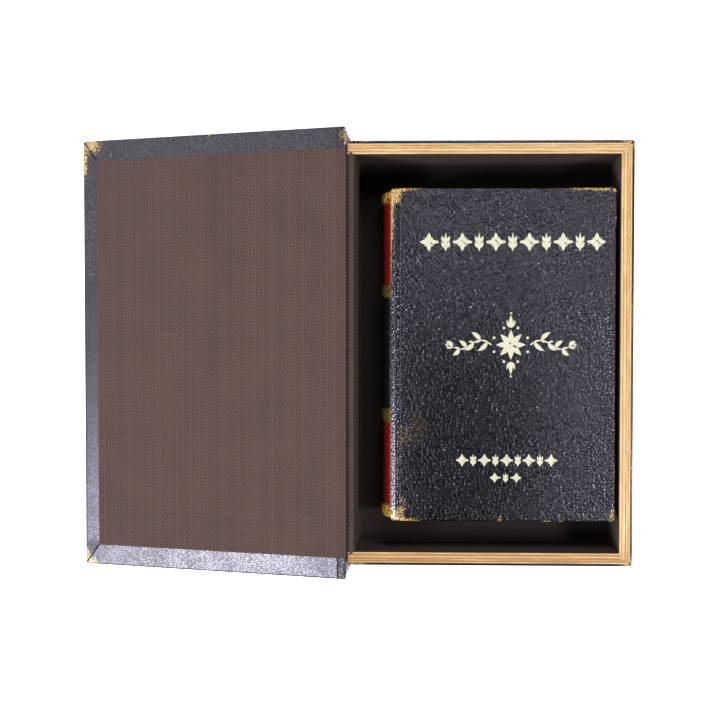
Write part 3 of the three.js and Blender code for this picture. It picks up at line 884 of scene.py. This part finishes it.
brown_cloth = cloth_material(
    "brown_cloth",
    pitch=(1.1, 1.03, 1.0),
    warp=(0.122, 0.0715, 0.0595, 1),
    weft=(0.0515, 0.0262, 0.0212, 1),
    gap=(0.012, 0.006, 0.0051, 1),
)
# The same cloth coloured darker: painted shade in the crease.
shaded_strip_cloth = cloth_material(
    "shaded_strip_cloth",
    pitch=(1.03, 1.1, 1.0),
    warp=(0.093, 0.058, 0.05, 1),
    weft=(0.031, 0.017, 0.015, 1),
    gap=(0.009, 0.005, 0.005, 1),
)


def length_along(path):
    """The length of a path up to each of its points."""
    return np.concatenate([[0], np.cumsum(np.linalg.norm(np.diff(path, axis=0), axis=1))])


def cloth_panel_rings(lining, squeeze):
    """A cover's panel cut across, in (u, v): a flat sheet that stands a little proud of the
    turn-ins with its edge rolled over, and at the crease wraps the bead, squeezed as its nose is."""
    low = -bead - cloth_proud
    radius = bead + cloth_proud
    edge = lining["reach"] - cloth_roll
    section = np.concatenate([
        arc((edge, low + cloth_roll), cloth_roll, 30, -90, 6)[:-1],
        points_at(np.linspace(edge, 0, 70), low),
        arc((0, 0), radius, -90, -90 - lining["wrap"], 12)[1:] * [squeeze, 1],
        arc((0, 0), bead - 0.3, -90 - lining["wrap"], -90, 8) * [squeeze, 1],
        np.array([(1.5, cloth_sunk - bead), (edge - cloth_sunk, cloth_sunk - bead)]),
    ])
    along = stations(lining["half"], 0.3, cloth_row_gap)
    drawn = rounded(cloth_roll, cloth_roll - (lining["half"] - np.abs(along)))[:, None]
    u, v = section.T
    rings = grid(u, along[:, None], v + drawn * (v < -cloth_sunk))
    return rings, grid(length_along(section), along[:, None], 0.0)


for box_name, lining in linings.items():
    rings, cloth = cloth_panel_rings(lining, covers[box_name]["nose"] / bead)
    panel = skin(f"{box_name}_cover_cloth", rings, cover_places[f"{box_name}_front"], {"cloth": cloth})
    panel.data.materials.append(brown_cloth)
    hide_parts(f"{box_name}_cover_lining")
    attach(panel, f"{box_name}_cover")


def cloth_strip_rings(lining):
    """The strip over the spine wall cut across, in (x, z) from the tray's outer face: flat from the
    crease over the wall's top, round its inner edge and down inside. Its ends are cut on a slant,
    3 mm longer at the crease, so y = half + 3 (1 - x / wall) on top."""
    top = lining["rim"] + 0.1
    wall, lip = lining["hinge_wall"], lining["lip"]
    out = np.array([
        (0.1 - lip, top - 0.8), (-lip, top - 0.65), (0.2 - lip, top - 0.58), (-1.1, top - 0.6),
        (-0.5, top - 0.62), (-0.1, top - 0.58), (0.3, top - 0.46), (0.7, top - 0.3),
        (1.1, top - 0.14), (1.6, top - 0.02), (2.2, top + 0.02), (2.6, top + 0.02),
    ])
    over = arc((wall - cloth_round, top - cloth_round), cloth_round, 90, 0, 7)
    down = np.array([(wall, top - 2), (wall, top - 6), (wall, top - cloth_turn)])
    back = np.array([
        (wall - 0.45, top - cloth_turn), (wall - 0.45, top - 1.2), (wall - 0.9, top - 0.45),
        (1.2, top - 0.45), (0.7, top - 0.65), (0.2, top - 0.9), (-0.5, top - 1.0), (-1.1, top - 0.95),
    ])
    section = np.concatenate([out, over, down, back])
    ends = np.concatenate([[0.0, 0.004, 0.012], np.linspace(0.03, 0.97, 60), [0.988, 0.996, 1.0]])
    x, z = section.T
    y = (2 * ends[:, None] - 1) * (lining["strip_half"] + cloth_slant * np.clip(1 - x / wall, 0, 1))
    return grid(x, y, z), grid(length_along(section), y, 0.0)


for box_name, lining in linings.items():
    rings, cloth = cloth_strip_rings(lining)
    strip = skin(f"{box_name}_hinge_cloth", rings, tray_places[box_name], {"cloth": cloth})
    strip.data.materials.append(shaded_strip_cloth)
    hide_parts(f"{box_name}_hinge_lining")
    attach(strip, f"{box_name}_tray")


# Tray lining: panels of thin card covered in a fine black-brown cloth, glued inside the tray on
# its floor and its four walls. It is one cloth in two copies: the floor's coloured darker as painted
# shade, the walls' coloured lighter as painted light.
lining_pitch = 0.55


def lining_material(name, low, high):
    """A fine plain cloth with threads a pitch apart, in one colour between them and one on them. The
    threads run along the floor and up the walls, by x + z and y + z."""
    material, tree, surface = new_material(name)
    x, y, z = axes_of(tree, object_place(tree))
    threads = {0: maths(tree, "ADD", x, z), 1: maths(tree, "ADD", y, z)}
    flat = add(tree, "ShaderNodeCombineXYZ", threads).outputs[0]
    in_mm = vector_maths(tree, "MULTIPLY", flat, (1000, 1000, 1000))
    weave = use_group(tree, weave_group, {"Place": in_mm, "Pitch": (lining_pitch,) * 3})
    feed(tree, surface, {
        "Base Color": mixed(tree, weave["Height"], low, high),
        "Roughness": 0.9,
        "Specular IOR Level": 0.2,
        "Normal": bumped(tree, weave["Height"], 0.5, 0.12),
    })
    return material


# Painted shade on the floor and painted light on the walls: one cloth, coloured darker and lighter.
shaded_floor_cloth = lining_material("shaded_floor_cloth", low=(0.0088, 0.006, 0.0055, 1), high=(0.025, 0.017, 0.0155, 1))
lit_wall_cloth = lining_material("lit_wall_cloth", low=(0.022, 0.0153, 0.0132, 1), high=(0.063, 0.0434, 0.0383, 1))
for box_name in ("large", "small"):
    finish_solid(f"{box_name}_floor_lining", shaded_floor_cloth)
    for wall_name in ("head", "tail", "fore_edge", "spine"):
        finish_solid(f"{box_name}_{wall_name}_lining", lit_wall_cloth)


# Page paper: stout paper printed and pressed to look like gilt page edges, wrapped round the
# tray's three outer walls and folded in over their rim, with mitred corners on top.
pages = {
    "large": {
        "half": 125.0, "depth": 168.6, "rim": 55.0, "base": 4.8, "width": 6.3, "corner": 2.4,
        "pitch": 1.25,
    },
    "small": {
        "half": 91.75, "depth": 125.6, "rim": 39.6, "base": 4.4, "width": 5.2, "corner": 2.0,
        "pitch": 1.2,
    },
}
paper = 0.5
paper_edge = 0.25
rim_round = 0.45
first_line = 0.7
line_step = ((-0.34, False), (-0.1, True), (0.12, True), (0.36, False))
line_depth = 0.12
rim_lines = (0.2, 0.44, 0.78)
rim_line_depth = 0.16
rim_line_spread = 0.36
wider_at_tail = 0.16
line_depth_varies = 0.07
line_depth_range = (0.02, 0.22)
handled_reach = 12
handled_at_head = 0.15
paper_lip = 0.3

# Each way in which a line wanders: a seed, wavelengths in mm, and how far.
wandering = {
    "depth": (100, (9, 23, 61, 140), 1.6), "height": (400, (31, 83, 170), 0.22),
    "rim_place": (900, (17, 47, 120), 0.16), "rim_strength": (950, (7, 19, 53), 0.5),
}


def waver(along, way, number):
    """A smooth wandering value along a line: the sum of sines of several wavelengths, with phases
    and weights drawn from a generator seeded by the way it wanders and the line's number."""
    seed, lengths, size = wandering[way]
    random = np.random.default_rng(seed + number)
    total = np.zeros_like(along, float)
    for length in lengths:
        total += random.uniform(0.5, 1) * np.sin(2 * np.pi * along / length + random.uniform(0, 2 * np.pi))
    return size * total / len(lengths)


def page_path(page):
    """The way round the tray from the head wall's spine end to the tail wall's: each station's
    corner centre and the direction outwards. Stations on a corner share its centre."""
    far, side = page["depth"] - page["corner"], page["half"] - page["corner"]
    wall_x = np.linspace(0, far, 70)[:-1]
    fore_y = np.linspace(side, -side, 100)[1:-1]
    corner = arc((0, 0), 1.0, 90, 0, 9)
    centre_x = np.concatenate([wall_x, np.full(len(fore_y) + 2 * len(corner), far), wall_x[::-1]])
    ends = len(wall_x) + len(corner)
    centre_y = np.concatenate([np.full(ends, side), fore_y, np.full(ends, -side)])
    out = np.concatenate([
        np.tile([0.0, 1.0], (len(wall_x), 1)),
        corner,
        np.tile([1.0, 0.0], (len(fore_y), 1)),
        corner[::-1] * [1, -1],
        np.tile([0.0, -1.0], (len(wall_x), 1)),
    ])
    return points_at(centre_x, centre_y), out


def page_section(page):
    """The paper cut across: the inset and the height of each point, and the number of the page line
    whose bottom it is on, or -1. It climbs the wall over the lines, turns over the rim and back."""
    rim, width = page["rim"], page["width"]
    count = int((rim - page["base"] - 1.2) / page["pitch"])
    inset, height, line_of = [0.0], [page["base"]], [-1]
    for number in range(count):
        line = page["base"] + first_line + page["pitch"] * number
        for step, at_bottom in line_step:
            inset.append(0.0)
            height.append(line + step * page["pitch"])
            line_of.append(number if at_bottom else -1)
    over = arc((rim_round, rim - rim_round), rim_round, 180, 90, 6)
    across = np.linspace(rim_round, width - paper_edge, 30)[1:]
    fold = arc((width - paper_edge, rim - paper_edge), paper_edge, 90, 0, 4)[1:]
    back = np.array([
        (width, rim - paper - paper_lip),
        (width - paper_lip, rim - paper - paper_lip),
        (width - 0.4, rim - paper),
        (paper, rim - paper),
        (paper, page["base"]),
    ])
    inset = np.concatenate([inset, over[:, 0], across, fold[:, 0], back[:, 0]])
    height = np.concatenate([height, over[:, 1], np.full(len(across), rim), fold[:, 1], back[:, 1]])
    return inset, height, np.concatenate([line_of, np.full(len(inset) - len(line_of), -1)])


def page_rings(page):
    """The section carried round the path. A point whose inset is less than the corner's radius goes
    round the corner; one further in meets the mitre. Each page line is a dip that wanders in height
    and depth along the way, and three fainter ones run along the rim."""
    radius, half, width = page["corner"], page["half"], page["width"]
    centre, out = page_path(page)
    run = length_along(centre + radius * out)
    inset, z, line_of = page_section(page)
    inset = np.tile(inset, (len(run), 1))
    z = np.tile(z, (len(run), 1))
    for number in range(max(line_of) + 1):
        at = line_of == number
        depth = line_depth + line_depth_varies * waver(run, "depth", number)
        inset[:, at] += np.clip(depth, *line_depth_range)[:, None]
        z[:, at] += waver(run, "height", number)[:, None]
    on_rim = (z > page["rim"] - 1e-6) & (inset > rim_round) & (inset < width - paper_lip)
    lined = np.clip(inset / line_depth, 0, 1) * (z < page["rim"] - 0.6)
    at_tail = smooth_step(-centre[:, 1], half - handled_reach, half - 3)
    for number, share in enumerate(rim_lines):
        middle = width * share + waver(run, "rim_place", number)
        spread = rim_line_spread + wider_at_tail * at_tail[:, None]
        near = np.exp(-(((inset - middle[:, None]) / spread) ** 2)) * on_rim
        strong = np.clip(0.9 + 0.2 * at_tail + waver(run, "rim_strength", number), 0.25, 1)
        near = near * strong[:, None]
        z = z - near * rim_line_depth
        lined = np.maximum(lined, near)
    # At a corner the rays meet in its centre, and from there all points keep to the diagonal.
    left = radius - inset
    diagonal = np.sign(out) * (np.abs(out) > 1e-9)
    way = np.where((left > 0)[..., None], out[:, None, :], diagonal[:, None, :])
    plan = centre[:, None, :] + left[..., None] * way
    rings = np.concatenate([plan, z[..., None]], axis=2)
    reach = half - handled_reach, half - 2
    handled = smooth_step(-rings[..., 1], *reach) + handled_at_head * smooth_step(rings[..., 1], *reach)
    return rings, {"page": grid(run[:, None], inset, z), "lined": lined, "handled": handled}


def page_material():
    """Gilt page edges: warm gold in two tones, with pale and dull streaks along the lines, flecks
    worn to brown, brown in the lines, and browned by handling at tail and head."""
    material, tree, surface = new_material("page_gilt")
    place = mark(tree, "page", "Vector")

    def drawn_out(factors, detail, roughness=0.5):
        return noise(tree, vector_maths(tree, "MULTIPLY", place, factors), 1.0, detail, roughness)

    streaks = drawn_out((0.03, 1.9, 1.9), 5, 0.65)
    blotch = drawn_out((0.08, 0.5, 0.3), 3)
    flecks = drawn_out((0.6, 2.6, 2.6), 3)
    warm = mixed(tree, eased(tree, blotch, 0.38, 0.62), (0.39, 0.217, 0.071, 1), (0.442, 0.282, 0.107, 1))
    pale = mixed(tree, eased(tree, streaks, 0.45, 0.68), warm, (0.517, 0.371, 0.19, 1))
    dull = mixed(tree, eased(tree, streaks, 0.28, 0.44, 0.7, 0.0), pale, (0.3, 0.165, 0.058, 1))
    worn = mixed(tree, eased(tree, flecks, 0.58, 0.72, 0.0, 0.6), dull, (0.23, 0.125, 0.045, 1))
    handled = times(tree, mark(tree, "handled"), eased(tree, streaks, 0.3, 0.65, 0.9, 0.12))
    browned = mixed(tree, handled, worn, (0.22, 0.11, 0.035, 1))
    broken = times(tree, mark(tree, "lined"), eased(tree, flecks, 0.3, 0.55, 0.6, 1.0))
    feed(tree, surface, {
        "Base Color": mixed(tree, broken, browned, (0.16, 0.08, 0.03, 1)),
        "Roughness": eased(tree, streaks, 0.3, 0.7, 0.5, 0.38),
        "Normal": bumped(tree, streaks, 0.4, 0.2),
    })
    return material


page_gilt = page_material()
for box_name, page in pages.items():
    rings, marks = page_rings(page)
    paper_piece = skin(f"{box_name}_page_edges", rings, tray_places[box_name], marks)
    paper_piece.data.materials.append(page_gilt)
    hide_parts(f"{box_name}_page_paper")
    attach(paper_piece, f"{box_name}_tray")


# Gilt tooling: gold foil stamped on each front cover with heated brass tools. A row of flowers and
# sprigs runs near the head, a rosette between leafy branches fills the middle, and two shorter
# rows stand at the foot. The foil lies a little proud of the leather.
foil_proud = 0.1
foil_sunk = 0.05
foil_layer = 0.006


def foil_stroke(path, half_width):
    """A flat strip along a path of (u, y) points, half_width to each side of it."""
    forward = np.gradient(path, axis=0)
    forward /= np.linalg.norm(forward, axis=1)[:, None]
    sideways = points_at(-forward[:, 1], forward[:, 0]) * half_width[:, None]
    return path, sideways


def petal(root, angle, length, width, bend=0.0):
    """A petal from its root: it runs length t in a direction that turns by bend t degrees, and
    its half width is width sin(pi t^0.8)."""
    t = np.linspace(0, 1, 15)
    way = np.radians(angle + bend * t)
    steps = points_at(np.cos(way), np.sin(way)) * length / (len(t) - 1)
    path = np.array(root) + np.concatenate([[(0, 0)], np.cumsum(steps[:-1], axis=0)])
    return foil_stroke(path, np.maximum(width * np.sin(np.pi * t**0.8), 0.05))


def berry(centre, radius):
    """A round dot: a strip across a circle with half width radius sin t at radius cos t."""
    t = np.linspace(0.05, np.pi - 0.05, 13)
    path = np.array(centre) + points_at(-radius * np.cos(t), 0.0)
    return foil_stroke(path, radius * np.sin(t))


def mirrored(strokes, middle):
    """The same strokes and their mirror image on the other side of a line u = middle."""
    flipped = [(path * [-1, 1] + [2 * middle, 0], side * [-1, 1]) for path, side in strokes]
    return strokes + flipped


def flower(centre, size):
    """Four petals on a cross and four short ones between them, round a berry."""
    long = [petal(centre, turn, 0.5 * size, 0.13 * size) for turn in (0, 90, 180, 270)]
    short = [petal(centre, turn, 0.34 * size, 0.07 * size) for turn in (45, 135, 225, 315)]
    return long + short + [berry(centre, 0.1 * size)]


def sprig(centre, size):
    """An upright leaf over two pairs of side leaves, on a short stem."""
    u, y = centre
    stem = [petal((u, y - 0.5 * size), 90, size, 0.1 * size)]
    pairs = [petal((u, y + at * size), 40, 0.42 * size, 0.09 * size, 40) for at in (-0.32, -0.02)]
    return stem + mirrored(pairs, u)


def tooled_row(centre, length, size, units):
    """Flowers and sprigs by turns along a row, with a berry between neighbours."""
    step = length / units
    strokes = []
    for number in range(units):
        u = centre[0] + (number - (units - 1) / 2) * step
        strokes += (sprig if number % 2 else flower)((u, centre[1]), size)
        if number < units - 1:
            strokes.append(berry((u + step / 2, centre[1]), 0.07 * size))
    return strokes


def branch(root, length, wave, leaves, size):
    """A stem that waves by wave sin(2 pi t) over its length, with leaves above and below it by
    turns that shorten towards its tip, and three berries at its end."""
    t = np.linspace(0, 1, 40)
    path = np.array(root) + points_at(length * t, wave * np.sin(2 * np.pi * t))
    strokes = [foil_stroke(path, size * (0.055 - 0.03 * t))]
    for number in range(leaves):
        at = (number + 0.6) / leaves
        foot = np.array(root) + [length * at, wave * math.sin(2 * math.pi * at)]
        side = 1 if number % 2 else -1
        strokes.append(petal(foot, 62 * side, size * (1 - 0.45 * at), 0.15 * size, -45 * side))
        strokes.append(petal(foot, -40 * side, 0.4 * size, 0.07 * size, 60 * side))
    return strokes + [berry(point, 0.09 * size) for point in arc(path[-1], 0.22 * size, -55, 55, 3)]


def rosette_and_branches(centre, width):
    """A round rosette of eight petals in a ring of berries, with a leafy branch to each side and a
    small sprig above and below."""
    u, y = centre
    size = 0.11 * width
    petals = [petal(centre, turn, size, 0.19 * size) for turn in range(0, 360, 45)]
    ring = [berry(point, 0.09 * size) for point in arc(centre, 1.22 * size, 22.5, 337.5, 8)]
    tips = []
    for side in (-1, 1):
        foot = (u, y + 1.15 * size * side)
        tips += [petal(foot, 90 * side, 0.85 * size, 0.13 * size)]
        tips += [berry((u, y + 2.12 * size * side), 0.07 * size)]
        tips += [petal(foot, 90 * side + turn, 0.6 * size, 0.09 * size, -turn) for turn in (48, -48)]
    right = branch((u + 1.3 * size, y), width / 2 - 1.75 * size, 0.3 * size, 6, 0.95 * size)
    return petals + ring + tips + [berry(centre, 0.18 * size)] + mirrored(right, u)


def foil(name, strokes, face, place):
    """All strokes as thin closed strips in one mesh, each a little higher than the last one that it
    might cross, standing on the face at height v = face."""
    corners, faces, count = [], [], 0
    for number, (path, side) in enumerate(strokes):
        low = np.full(len(path), face - foil_sunk)
        high = np.full(len(path), face + foil_proud + foil_layer * (number % 7))
        left, right = path + side, path - side
        edges = ((left, low), (right, low), (right, high), (left, high))
        ring = np.stack([np.column_stack(edge) for edge in edges], axis=1)
        if np.cross(np.gradient(path, axis=0), side)[len(path) // 2] < 0:
            ring = ring[:, ::-1]
        start = np.arange(len(path) - 1)[:, None] * 4
        rows, after = start + np.arange(4), start + (np.arange(4) + 1) % 4
        quads = np.stack([rows, rows + 4, after + 4, after], axis=2).reshape(-1, 4) + count
        last = count + len(path) * 4 - 1
        faces += quads.tolist()
        faces += [[count, count + 1, count + 2, count + 3], [last, last - 1, last - 2, last - 3]]
        corners.append(ring.reshape(-1, 3))
        count += len(path) * 4
    points = np.concatenate(corners)
    return new_piece(name, place(points), faces, {"book": points[None]})


def foil_material():
    """Thin gold foil over the grain, brighter in patches and gone to brown between them."""
    material, tree, surface = new_material("gold_foil")
    place = mark(tree, "book", "Vector")
    grain = use_group(tree, grain_group, {"Place": place, "Pressed": pressed_in_part})
    patches = noise(tree, place, 0.5, 5)
    gold = mixed(tree, eased(tree, patches, 0.35, 0.65), (0.41, 0.385, 0.28, 1), (0.445, 0.43, 0.335, 1))
    gone = eased(tree, patches, 0.24, 0.34, 0.7, 0.0)
    feed(tree, surface, {
        "Base Color": mixed(tree, gone, gold, (0.2, 0.15, 0.07, 1)),
        "Roughness": eased(tree, patches, 0.3, 0.7, 0.5, 0.35),
        "Metallic": 0.25,
        "Normal": bumped(tree, grain["Height"], 0.6, 1.0),
    })
    return material


gold_foil = foil_material()
small_tooling = {
    "head_row": tooled_row((72.5, 67.6), 110, 11.0, 11),
    "centrepiece": rosette_and_branches((71.6, 6.3), 81),
    "foot_row": tooled_row((69.3, -62.9), 60, 7.6, 9),
    "short_row": tooled_row((68.7, -73.4), 19.5, 6.2, 3),
}
for box_name, cover in covers.items():
    growth = cover["reach"] / covers["small"]["reach"]
    for row_name, strokes in small_tooling.items():
        grown = [(path * growth, side * growth) for path, side in strokes]
        tooling = foil(f"{box_name}_{row_name}", grown, cover["outer"], cover_places[f"{box_name}_front"])
        tooling.data.materials.append(gold_foil)
        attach(tooling, f"{box_name}_cover")
